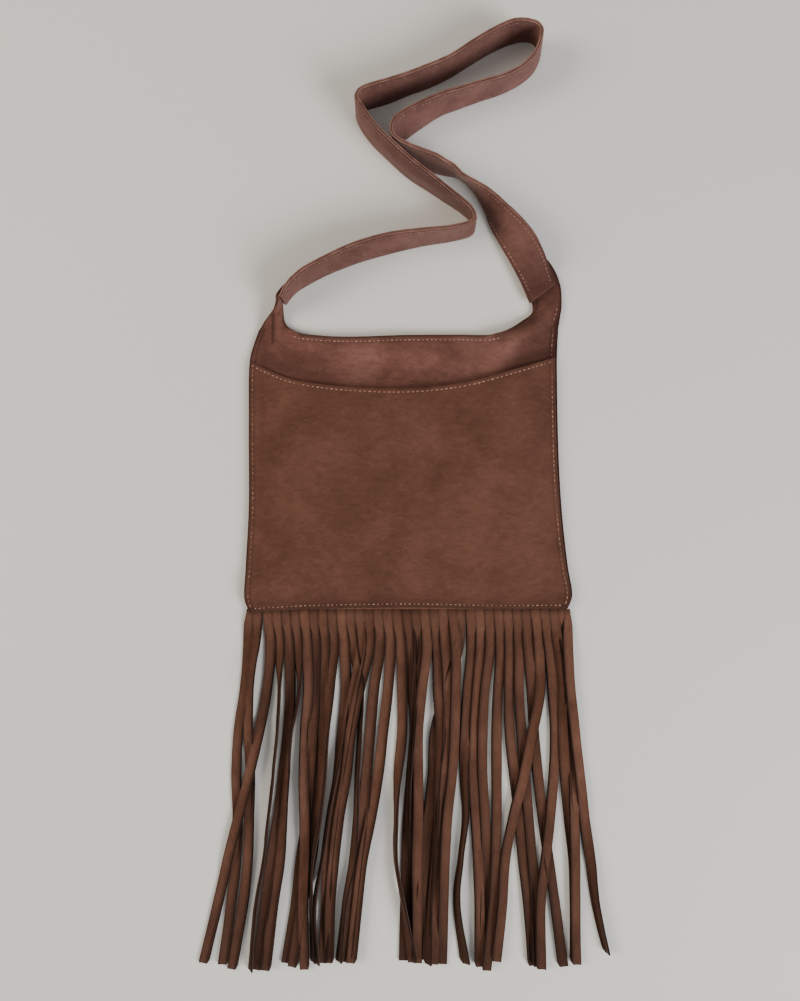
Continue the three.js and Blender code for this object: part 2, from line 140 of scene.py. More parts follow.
# ---- materials
class Wire:  # a socket that takes part in Python sums
    def __init__(self, graph, socket):
        self.graph, self.socket = graph, socket

    def maths(self, operation, first, second):
        return self.graph.node("ShaderNodeMath", {"operation": operation}, {0: first, 1: second})

    def __add__(self, other):
        return self.maths("ADD", self, other)

    def __radd__(self, other):
        return self.maths("ADD", other, self)

    def __rsub__(self, other):
        return self.maths("SUBTRACT", other, self)

    def __mul__(self, other):
        return self.maths("MULTIPLY", self, other)

class Graph:  # a material's nodes
    def __init__(self, name):
        self.material = bpy.data.materials.new(name)
        self.material.use_nodes = True
        self.tree = self.material.node_tree
        self.shader = self.tree.nodes["Principled BSDF"]

    def node(self, kind, settings, inputs, output=0):
        made = self.tree.nodes.new(kind)
        for key, value in settings.items():
            if key == "stops":
                ramp = made.color_ramp
                while len(ramp.elements) < len(value):
                    ramp.elements.new(1)
                for element, (place, color) in zip(ramp.elements, value):
                    element.position, element.color = place, (*color, 1)
            else:
                setattr(made, key, value)
        for key, value in inputs.items():
            if isinstance(value, Wire):
                self.tree.links.new(value.socket, made.inputs[key])
            else:
                made.inputs[key].default_value = value
        return Wire(self, made.outputs[output])

    def place(self, stretch=(1, 1, 1), turn=0.0):
        coordinates = self.node("ShaderNodeTexCoord", {}, {}, "Object")
        return self.node("ShaderNodeMapping", {}, {
            "Vector": coordinates, "Scale": stretch, "Rotation": (0, 0, turn)})

    def clouds(self, vector, scale, detail=3.0, rough=0.55, warp=0.0):
        return self.node("ShaderNodeTexNoise", {}, {
            "Vector": vector, "Scale": scale, "Detail": detail, "Roughness": rough,
            "Distortion": warp})

    def blend(self, share, first, second):
        return self.node("ShaderNodeMix", {"data_type": "RGBA", "blend_type": "MIX"}, {
            0: share, 6: first, 7: second}, 2)

    def ramp(self, value, stops):
        return self.node("ShaderNodeValToRGB", {"stops": stops}, {"Fac": value})

    def attribute(self, name):
        return self.node("ShaderNodeAttribute", {"attribute_name": name}, {}, "Fac")

    def finish(self, color, roughness, height, depth, strength=1.0, **numbers):
        bump = self.node("ShaderNodeBump", {}, {
            "Height": height, "Distance": depth, "Strength": strength})
        for name, wire in (("Base Color", color), ("Roughness", roughness), ("Normal", bump)):
            self.tree.links.new(wire.socket, self.shader.inputs[name])
        for name, value in numbers.items():
            self.shader.inputs[name.replace("_", " ")].default_value = value
        return self.material


suedeScale = {"patches": 26.0, "strokes": 130.0, "grain": 750.0, "fibres": 3200.0}
wearAndShadeShare = 0.42  # how much of its dark colour the suede keeps where the tone attribute is highest; that tone paints shade and shadow, with some random tone


def suede(name, dark, middle, light, nap=(1, 1, 1), turn=0.0):
    graph = Graph(name)
    place = graph.place()
    brushed = graph.place(nap, turn)
    patches = graph.clouds(place, suedeScale["patches"], 3.0, 0.5, 0.4)
    strokes = graph.clouds(brushed, suedeScale["strokes"], 4.0, 0.6, 0.8)
    grain = graph.clouds(place, suedeScale["grain"], 3.0, 0.65)
    fibres = graph.clouds(place, suedeScale["fibres"], 2.0, 0.6)
    tone = patches * 0.42 + strokes * 0.33 + grain * 0.17 + fibres * 0.08
    color = graph.ramp(tone, [(0.36, dark), (0.5, middle), (0.66, light)])
    # the tone attribute blends in this darker colour: painted shade and shadow, with some random tone
    wearAndShade = (*[part * wearAndShadeShare for part in dark], 1)
    color = graph.blend(graph.attribute("tone"), color, wearAndShade)
    height = grain * 0.5 + fibres * 0.35 + strokes * 0.6
    return graph.finish(color, 0.97 - strokes * 0.1, height, 0.0005, 0.55, Sheen_Weight=0.3,
                        Sheen_Roughness=0.4, Sheen_Tint=(0.85, 0.62, 0.56, 1),
                        Specular_IOR_Level=0.1)


def cutEdge(name, dark, light):  # the fibrous side of a cut sheet
    graph = Graph(name)
    place = graph.place()
    fibres = graph.clouds(place, 2600.0, 3.0, 0.7)
    patches = graph.clouds(place, 120.0, 2.0)
    color = graph.ramp(fibres * 0.5 + patches * 0.5, [(0.35, dark), (0.65, light)])
    return graph.finish(color, 0.98 - patches * 0.06, fibres, 0.0004, 0.8, Specular_IOR_Level=0.1)


def sewingThread(name, dark, light):
    graph = Graph(name)
    strands = graph.node("ShaderNodeTexWave", {"bands_direction": "DIAGONAL"}, {
        "Vector": graph.place(), "Scale": 900.0, "Distortion": 1.5, "Detail": 1.0})
    wearAndShade = graph.clouds(graph.place(), 70.0, 3.0, 0.7)
    color = graph.ramp(wearAndShade * 0.75 + strands * 0.25, [(0.34, dark), (0.6, light)])
    color = graph.blend(graph.attribute("tone"), color, (0.09, 0.036, 0.026, 1))
    return graph.finish(color, 0.6 + strands * 0.2, strands, 0.0002, 0.6,
                        Sheen_Weight=0.15, Sheen_Roughness=0.4)


materials = {
    "panel": suede("panelSuede", (0.112, 0.044, 0.032), (0.182, 0.076, 0.057),
                   (0.262, 0.118, 0.094), (1, 2.0, 1), 0.5),
    "pocket": suede("pocketSuede", (0.078, 0.033, 0.021), (0.113, 0.047, 0.031),
                    (0.152, 0.066, 0.045), (1, 2.0, 1), 0.2),
    "fringe": suede("fringeSuede", (0.088, 0.038, 0.024), (0.137, 0.06, 0.038),
                    (0.188, 0.086, 0.057), (2.5, 0.8, 1)),
    "strap": suede("strapSuede", (0.094, 0.037, 0.028), (0.148, 0.065, 0.052),
                   (0.2, 0.094, 0.077), (1, 1.6, 1), 0.8),
    "lining": suede("liningSuede", (0.102, 0.041, 0.034), (0.16, 0.072, 0.061),
                    (0.205, 0.099, 0.086), (1, 1.6, 1), 0.8),
    "edge": cutEdge("cutSuedeEdge", (0.06, 0.026, 0.019), (0.18, 0.085, 0.064)),
    "strapEdge": cutEdge("cutStrapEdge", (0.13, 0.06, 0.046), (0.33, 0.17, 0.135)),
    # near-black: painted shade on the strands' cut sides, which face away from the light
    "shadedFringeEdge": cutEdge("shadedStrandEdge", (0.012, 0.006, 0.004), (0.035, 0.017, 0.012)),
    "thread": sewingThread("sewingThread", (0.3, 0.14, 0.1), (0.6, 0.35, 0.26)),
}
print("materials made")


# ---- sheets
def makeObject(name, bm, slots, nodes):
    bmesh.ops.scale(bm, vec=(mm, mm, mm), verts=bm.verts)
    mesh = bpy.data.meshes.new(name)
    bm.to_mesh(mesh)
    bm.free()
    piece = bpy.data.objects.new(name, mesh)
    scene.collection.objects.link(piece)
    for key in slots:
        mesh.materials.append(materials[key])
    mesh.shade_smooth()
    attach(piece, "root")
    if nodes:
        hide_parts(*nodes)
    return piece


def gridOf(columns, rows):  # a flat grid with its vertices keyed by column and row
    bm = bmesh.new()
    tone = bm.verts.layers.float.new("tone")
    bmesh.ops.create_grid(bm, x_segments=columns, y_segments=rows, size=0.5)
    keyed = {}
    for vert in bm.verts:
        keyed[round((vert.co.x + 0.5) * columns), round((vert.co.y + 0.5) * rows)] = vert
    return bm, keyed, tone


def thicken(piece, thickness, bevel=0.3, smoothing=1, even=True):
    if smoothing:
        rounded = piece.modifiers.new("rounded", "SUBSURF")
        rounded.levels = rounded.render_levels = smoothing
    wall = piece.modifiers.new("wall", "SOLIDIFY")
    wall.thickness = thickness * mm
    wall.offset = 0
    wall.use_even_offset = even
    wall.material_offset_rim = 1
    softened = piece.modifiers.new("softened", "BEVEL")
    softened.width = bevel * mm
    softened.segments = 2
    softened.affect = "EDGES"
    softened.profile = 0.5
    softened.material = -1
    softened.limit_method = "ANGLE"
    softened.angle_limit = math.radians(60)


# ---- the body's outline, the same as the CAD panels'
sheetLayers = {"suede": 1.3, "gap": 0.3, "frontRise": 5.8, "pocketRise": 4.6, "seamShare": 0.04}
body = {"length": 225, "width": 256, "pocketLength": 190, "pocketTopV": 0.85, "pocketLeftTop": 0.885,
        "pocketRightTop": 0.9}
stitchLine = {"mouth": 4.2, "side": 4.0, "right": 5.0, "bottom": 3.2, "hem": 2.8}  # in from the edges
layerStep = sheetLayers["suede"] + sheetLayers["gap"]
backZ = floorZ + sheetLayers["suede"] / 2
frontSeamZ = backZ + layerStep
frontHemZ = frontSeamZ + layerStep
leftSide = outline([(-130, -104), (-134, -94), (-133, -67), (-130.5, -19), (-130.5, 52),
                    (-129.5, 103), (-126, 116), (-122, 127)])
rightSide = outline([(131, -101), (134.5, -91), (131, -67), (126.5, -27), (123.5, 20), (122, 90),
                     (122, 106), (123, 128)])
bottomEdge = outline([(-130, -104), (-81, -101), (0, -99.5), (75, -101), (107, -101), (131, -101)])
topRow = outline([(-122, 127), (-94, 125.2), (-88, 123), (-72, 121), (-52, 120), (0, 121.5),
                  (40, 121.8), (66, 121.6), (74, 123), (100, 126.5), (123, 128)])
pocketHem = outline([(-130, 103), (-98, 88), (-69, 82), (-22, 78.5), (9, 79), (48, 84), (86, 94.5),
                     (121.5, 106)])


def pocketLeft(t):
    return leftSide(t * body["pocketLeftTop"])


def pocketRight(t):
    return rightSide(t * body["pocketRightTop"])


def patch(bottom, top, left, right):
    def at(u, v):
        point = bottom(u) * (1 - v) + top(u) * v + left(v) * (1 - u) + right(v) * u
        point -= bottom(0) * (1 - u) * (1 - v) + bottom(1) * u * (1 - v)
        return point - top(0) * (1 - u) * v - top(1) * u * v
    return at


bodyPlan = patch(bottomEdge, topRow, leftSide, rightSide)
pocketPlan = patch(bottomEdge, pocketHem, pocketLeft, pocketRight)


def rise(u, v):
    share = sheetLayers["seamShare"]
    fromMiddle = min(1, abs(2 * u - 1) / (1 - 2 * share))
    fromBottom = max(0, (v - share) / (1 - share))
    return (1 - fromMiddle ** 5) * (1 - (1 - fromBottom) ** 8)


def fromSides(u, v, length=body["length"]):  # millimetres from the nearest side and the bottom
    return min(u, 1 - u) * body["width"], v * length


def sag(x, y, u, v):  # the soft waves of the filled sheets, none at the seams
    broad = wave(x, y, 1, 90) * 1.6 + wave(x, y, 2, 38) * 0.8
    return (broad + wave(x, y, 3, 15) * 0.25) * rise(u, v)


def ridge(x, y, start, end, reach):  # 1 along a line on the floor plan, 0 past its reach
    along = Vector(end) - Vector(start)
    share = clamp((Vector((x, y)) - Vector(start)).dot(along) / along.length_squared)
    return hump((Vector((x, y)) - Vector(start) - along * share).length, 0, reach)


yokeFolds = [  # each fold between the mouth and the pocket: start, end, reach, height
    ((-100, 128), (-62, 113), 15, 1.5), ((-50, 108), (30, 104), 16, 1.3),
    ((108, 140), (72, 104), 16, 2.2), ((-108, 106), (-60, 104), 9, -0.9),
    ((-107, 134), (-104, 108), 8, 1.2), ((-118, 128), (-122, 104), 7, 1.2),
]
yokeShading = [  # painted shade there, and painted highlights where the amount is below 0: start, end, reach, how much darker
    ((-97, 109), (-70, 101), 10, 0.2), ((-122, 128), (-116, 108), 9, 0.22),
    ((74, 121), (102, 133), 9, 0.3), ((-109.5, 146), (-110, 116), 2.2, 0.5),
    ((-118, 100), (-60, 84), 11, 0.3), ((-50, 82), (60, 88), 9, 0.12),
    ((80, 97), (120, 108), 10, 0.3), ((-60, 116), (60, 118), 5, 0.1),
    ((-94, 118), (-84, 112), 13, -0.26), ((-46, 106), (14, 103), 15, -0.24),
    ((112, 140), (66, 99), 13, -0.26), ((-105.5, 148), (-105, 120), 4, -0.2),
]
# painted shade: a middle level, so that the highlights can lighten it, darker toward the right and left
# sides
yokeShadeLevels = {"middle": 0.3, "right": 0.34, "left": 0.1}


def ridges(x, y, lines):
    return sum(height * ridge(x, y, start, end, reach) for start, end, reach, height in lines)


def yokeShade(x, y):  # painted shade and highlights on the yoke; 0 where it is painted lightest
    sides = yokeShadeLevels["right"] * ease(x, 62, 114) + yokeShadeLevels["left"] * ease(-x, 70, 115)
    return yokeShadeLevels["middle"] + sides + ridges(x, y, yokeShading)


def rolled(distance, depth, reach=2.6):  # how far an edge curls down
    return depth * (1 - ease(distance, 0, reach)) ** 1.5


def groove(distance, line, depth=0.4, reach=1.7):  # a row of stitches pulls its line in
    return depth * hump(distance, line, reach) - depth * 0.6 * hump(distance, line * 0.45, line * 0.45)


def mouthDistance(u, v):  # millimetres below the mouth's edge, and far where the tabs start
    far = 1 - ease(u, 0.1, 0.14) + ease(u, 0.76, 0.8)
    return (1 - v) * body["length"] + 30 * far


def frontHeight(u, v):  # the front panel's smooth height, over the fringe's header at the bottom
    return mix(frontHemZ, frontSeamZ, ease(v, 0.08, 0.18)) + sheetLayers["frontRise"] * rise(u, v)


def frontPoint(u, v, lift=0.0):
    point = bodyPlan(u, v)
    side = fromSides(u, v)[0]
    mouth = mouthDistance(u, v)
    folds = ridges(point.x, point.y, yokeFolds) * clamp(side / 14) * clamp(mouth / 8)
    point.z = frontHeight(u, v) + sag(point.x, point.y, u, v) + folds + lift
    point.z -= rolled(mouth, 1.5) + groove(mouth, stitchLine["mouth"], 0.3)
    point.z -= groove(side, stitchLine["side"], 0.12)
    return point


def pocketPoint(u, v, lift=0.0):
    point = pocketPlan(u, v)
    side, up = fromSides(u, v, body["pocketLength"])
    hem = (1 - v) * body["pocketLength"]
    closing = 1 - 0.45 * ease(v, 0.7, 1)
    point.z = frontHeight(u, v * body["pocketTopV"]) + layerStep + 0.35
    point.z += sheetLayers["pocketRise"] * closing * rise(u, v) + sag(point.x, point.y, u, v) + lift
    point.z -= rolled(side, 0.9) + rolled(up, 0.9) + rolled(hem, 0.5, 1.6)
    point.z -= groove(side, stitchLine["side"]) + groove(up, stitchLine["bottom"])
    point.z -= groove(hem, stitchLine["hem"], 0.3)
    return point


# ---- the strap's route, the same as the CAD strap's: x, y, z and lean of its lower edge
strapRoute = [
    (99, 147.5, 5, 0), (91.5, 164.5, 5, 3), (84.5, 179, 4.5, 27), (78.5, 190.5, 3.8, 42),
    (72.5, 202, 2.9, 54), (68, 211.5, 2, 64), (64.5, 221, 1.4, 76), (60, 231, 0.8, 88),
    (54.5, 240.5, 0.5, 99), (47, 249, 0.5, 105), (39, 253.5, 0.5, 102), (30.5, 255, 0.5, 95),
    (21.5, 257, 0.5, 89), (10, 261.5, 0.5, 89), (0, 267, 0.5, 92), (-6, 272.5, 0.5, 97),
    (-8.5, 277.5, 0.5, 100), (-6.5, 281.5, 0.5, 103), (-1, 284.5, 0.5, 105), (9, 292, 0.5, 102),
    (25.5, 303, 0.5, 95), (42, 309.5, 0.5, 92), (58.5, 315.5, 0.5, 90), (75, 321, 0.5, 89),
    (90, 328.5, 0.5, 90), (99.5, 336, 0.5, 93), (104.5, 343.5, 0.5, 95), (107, 351, 0.5, 96),
    (106.5, 357.5, 0.5, 95), (102, 362.5, 0.5, 94), (95, 364, 0.5, 93), (83, 361.5, 0.5, 88),
    (66.5, 354.5, 0.5, 88), (50, 345, 0.5, 88), (33.5, 334.5, 0.5, 88), (17.5, 327, 0.5, 87),
    (1, 321, 0.5, 88), (-15.5, 314, 0.5, 85), (-31, 309.5, 0.5, 85), (-38, 307, 0.5, 87),
    (-41, 303, 0.5, 90), (-40.5, 298, 0.5, 94), (-37, 290.5, 0.5, 97), (-28, 278.5, 0.5, 97),
    (-13.5, 264.5, 0.5, 97), (2, 251, 0.5, 97), (18.5, 240.5, 0.5, 93), (35, 229.5, 0.5, 89),
    (44.5, 223, 0.5, 87), (50.5, 217.5, 0.5, 86), (53.5, 211.5, 0.5, 86), (52.5, 206.5, 0.5, 88),
    (47, 203.5, 0.5, 88), (34, 200.5, 0.5, 88), (10, 196.5, 0.5, 85), (-15, 190.5, 0.5, 80),
    (-40, 183.5, 0.5, 80), (-64.5, 174, 0.5, 83), (-81, 165.5, 0.5, 84), (-90.5, 160, 0.5, 87),
    (-96, 154.5, 0.6, 87), (-101, 148, 0.8, 90),
]
strap = {"width": 30, "endWidth": 25, "taper": 0.055, "layerOut": layerStep / 2 + 0.05,
         "rows": 440, "columns": 8, "liningInset": 0.3, "stitchInset": 3.0, "length": 850,
         "slant": 0.0055, "slantReach": 0.05, "creaseDepth": 2.2, "creaseAt": 0.73,
         "creaseReach": 0.09, "creaseMiddle": 0.55, "waver": 1.4, "ragged": 0.18}
strapCorners = vectors([station[:3] for station in strapRoute])
strapLeans = [station[3] for station in strapRoute]
strapFrames = {}


def strapFrame(t):  # the lower edge and the direction across the strap
    if t not in strapFrames:
        strapFrames[t] = newStrapFrame(t)
    return strapFrames[t]


def newStrapFrame(t):
    ahead = splinePoint(strapCorners, t + 0.002) - splinePoint(strapCorners, t - 0.002)
    lean = math.radians(flowing(strapLeans, t) + wave(t * strap["length"], 0, 5, 46) * strap["waver"])
    across = Vector((ahead.y, -ahead.x, 0)).normalized() * math.cos(lean)
    across += Vector((0, 0, math.sin(lean)))
    return splinePoint(strapCorners, t), across, across.cross(ahead.normalized()).normalized()


def strapWidth(t):
    return mix(strap["endWidth"], strap["width"], ease(min(t, 1 - t) / strap["taper"]))


def strapMiddle(t, across):
    edge, direction, outward = strapFrame(t)
    share = across / strapWidth(t)
    along = t * strap["length"]
    cup = 0.5 * wave(along, 0, 8, 60) * (2 * share - 1) ** 2 + wave(along, across, 9, 24) * 0.35
    crease = strap["creaseDepth"] * hump(t, strap["creaseAt"], strap["creaseReach"])
    crease *= 1 - abs(share - strap["creaseMiddle"]) / strap["creaseMiddle"]
    return edge + direction * across + outward * (cup - crease)


def strapPoint(t, across, out):
    acrossTo = strapMiddle(t, across + 1) - strapMiddle(t, across - 1)
    ahead = strapMiddle(min(t + 0.003, 1), across) - strapMiddle(max(t - 0.003, 0), across)
    return strapMiddle(t, across) + acrossTo.cross(ahead).normalized() * out


def strapSheet(name, out, inset, finish, node):
    rows, columns = strap["rows"], strap["columns"]
    bm, keyed, tone = gridOf(columns, rows)
    margin = inset / strap["length"]
    for j in range(rows + 1):
        t = mix(margin, 1 - margin, j / rows)
        along = t * strap["length"]
        ragged = wave(along, 3, 11, 9) * strap["ragged"]
        for i in range(columns + 1):
            across = mix(inset, strapWidth(t) - inset, i / columns)
            if i in (0, columns):
                across += ragged
            slanted = t + strap["slant"] * (i / columns) * hump(t, 0, strap["slantReach"])
            keyed[i, j].co = strapPoint(slanted, across, out)
            seam = min(across, strapWidth(t) - across)
            # painted shade: darker at the right end, on the stretch around t 0.75 that faces away from
            # the lamps, a little near the left end and along both edges; plus random tone
            wearAndShade = 0.5 * hump(t, 0, 0.06) + 0.5 * hump(t, 0.75, 0.1) + 0.1 * hump(t, 0.93, 0.09)
            wearAndShade += 0.25 * hump(seam, 0, 2.5) + 0.12 * wave(along, across, 17, 30)
            keyed[i, j][tone] = clamp(wearAndShade)
    piece = makeObject(name, bm, [finish, "strapEdge"], [node])
    thicken(piece, sheetLayers["suede"], smoothing=0)
    return piece


strapOuter = strapSheet("strapOuter", strap["layerOut"], 0, "strap", "strap_outer")
strapLining = strapSheet("strapLining", -strap["layerOut"], strap["liningInset"], "lining",
                         "strap_lining")
print("strap made")

# ---- the panels with their tabs
panel = {"columns": 104, "rows": 80, "tabRows": 30, "leftTab": 22, "rightTab": 72, "tabWidth": 25,
         "frontFrom": 0.004, "frontTo": 0.9915, "flat": (0.269, 0.302), "area": 0.0606}
tongue = {"turn": 0.5, "heldHigh": 21.5, "heldLow": 1, "endHigh": 12, "from": 0.999, "to": 0.958,
          "out": -(layerStep * 1.5 + 0.15)}  # the left tab's end, up the strap's back from its turn


def rightTab(flatZ):
    def shape(start, end):
        falling = [mix(start[2], flatZ, share) for share in (0.2, 0.45, 0.7)]
        inner = outline([start, (77, 124.2, falling[0]), (84, 127.5, falling[1]),
                         (92, 132.8, falling[2]), (99, 137.6, flatZ), (102.2, 142.5, flatZ),
                         (101.5, 149, flatZ), (94, 170, flatZ), (89, 184, flatZ)])
        outer = outline([end, (125, 141, flatZ), (125.5, 153, flatZ), (124.5, 163, flatZ),
                         (119.5, 176, flatZ), (111, 188, flatZ)])
        return lambda across, v: inner(v).lerp(outer(v), across)
    return shape


def leftTab(behind):
    def held(t, across):
        return strapPoint(t, across, tongue["out"])

    def shape(start, end):
        outer = outline([start, (-117, 133, 5), (-112, 138, 9), (-106.8, 142.6, 13.5),
                         (-103.8, 146, 18), held(tongue["from"], tongue["heldHigh"])])
        inner = outline([end, (-97.2, 127.6, 5), (-100.4, 132, 3.6), (-102, 138, 2.2),
                         held(tongue["from"], tongue["heldLow"])])

        def middle(across, v):
            if v >= tongue["turn"]:
                past = (v - tongue["turn"]) / (1 - tongue["turn"])
                high = mix(tongue["heldHigh"], tongue["endHigh"], past)
                t = mix(tongue["from"], tongue["to"], past)
                return held(t, mix(high, tongue["heldLow"], across))
            past = v / tongue["turn"]
            point = outer(past).lerp(inner(past), across)
            folds = 2.2 * hump(across, 0.66, 0.22) + 1.4 * hump(across, 0.16, 0.24)
            point.z += folds * (1 - ease(past, 0.5, 1))
            return point

        def at(across, v):
            step = 0.02
            sideways = middle(across + step, v) - middle(across - step, v)
            ahead = middle(across, v + step) - middle(across, v - step)
            return middle(across, v) - sideways.cross(ahead).normalized() * behind
        return at
    return shape


def panelSheet(name, place, left, right, finish, node):
    columns, rows, tabRows = panel["columns"], panel["rows"], panel["tabRows"]
    bm, keyed, tone = gridOf(columns, rows + tabRows)
    notch = []
    for face in bm.faces:
        middle = face.calc_center_median()
        if (middle.y + 0.5 > rows / (rows + tabRows)
                and panel["leftTab"] < (middle.x + 0.5) * columns < panel["rightTab"]):
            notch.append(face)
    bmesh.ops.delete(bm, geom=notch, context="FACES")
    for (i, j), vert in list(keyed.items()):
        if not vert.is_valid:
            keyed.pop((i, j))
        elif j <= rows:
            u, v = spread(i / columns), spread(j / rows)
            vert.co = place(u, v)
            side = fromSides(u, v)[0]
            # painted shade along the rolled edges, in the side stitch grooves and along the mouth
            shade = 0.5 * hump(side, 0, 2.5) + 0.3 * hump(side, stitchLine["side"], 1.5)
            shade += 0.5 * hump(mouthDistance(u, v), 0, 3)
            vert[tone] = clamp(shade + yokeShade(vert.co.x, vert.co.y))
    leftPoint = left(tuple(keyed[0, rows].co), tuple(keyed[panel["leftTab"], rows].co))
    rightPoint = right(tuple(keyed[panel["rightTab"], rows].co), tuple(keyed[columns, rows].co))
    for (i, j), vert in keyed.items():
        if j > rows:
            v = (j - rows) / tabRows
            u = spread(i / columns)
            if i <= panel["leftTab"]:
                share, tab = u / spread(panel["leftTab"] / columns), leftPoint
            else:
                first = spread(panel["rightTab"] / columns)
                share, tab = (u - first) / (1 - first), rightPoint
            vert.co = tab(share, v) + (keyed[i, rows].co - tab(share, 0)) * (1 - ease(v, 0, 0.4))
            inner = (1 - share if i <= panel["leftTab"] else share) * panel["tabWidth"]
            nearest = min(inner, panel["tabWidth"] - inner)
            # painted shade along the tab's edges and along a line near its inner edge
            shade = 0.4 * hump(nearest, 0, 3) + 0.5 * hump(inner, 3.6, 1.8)
            vert[tone] = clamp(shade + yokeShade(vert.co.x, vert.co.y))
    piece = makeObject(name, bm, [finish, "edge"], [node])
    thicken(piece, sheetLayers["suede"], even=False)


def backPoint(u, v):
    point = bodyPlan(u, v)
    point.z = backZ
    return point


def frontSheetPoint(u, v):
    return frontPoint(mix(panel["frontFrom"], panel["frontTo"], u), v)


panelSheet("backPanel", backPoint, leftTab(layerStep + 0.15), rightTab(backZ), "panel", "back_panel")
panelSheet("frontPanel", frontSheetPoint, leftTab(0), rightTab(frontSeamZ), "panel", "front_panel")
print("panels made")

pocket = {"columns": 100, "rows": 70, "from": 0.006, "to": 0.9905, "flat": (0.267, 0.206),
          "area": 0.0487}


def makePocket():
    bm, keyed, tone = gridOf(pocket["columns"], pocket["rows"])
    for (i, j), vert in keyed.items():
        u, v = spread(i / pocket["columns"]), spread(j / pocket["rows"])
        vert.co = pocketPoint(mix(pocket["from"], pocket["to"], u), v)
        side, up = fromSides(u, v, body["pocketLength"])
        # painted shade along the rolled sides and bottom, in the stitch grooves, and spreading up from
        # the bottom
        shade = 0.5 * hump(side, 0, 2.2) + 0.3 * hump(side, stitchLine["side"], 1.4)
        shade += 0.35 * hump(up, 0, 2.4) + 0.3 * hump(up, stitchLine["bottom"], 1.2)
        vert[tone] = clamp(shade + 0.42 * hump(up, 0, 22))
    piece = makeObject("frontPocket", bm, ["pocket", "edge"], ["front_pocket"])
    thicken(piece, sheetLayers["suede"])


makePocket()
print("pocket made")

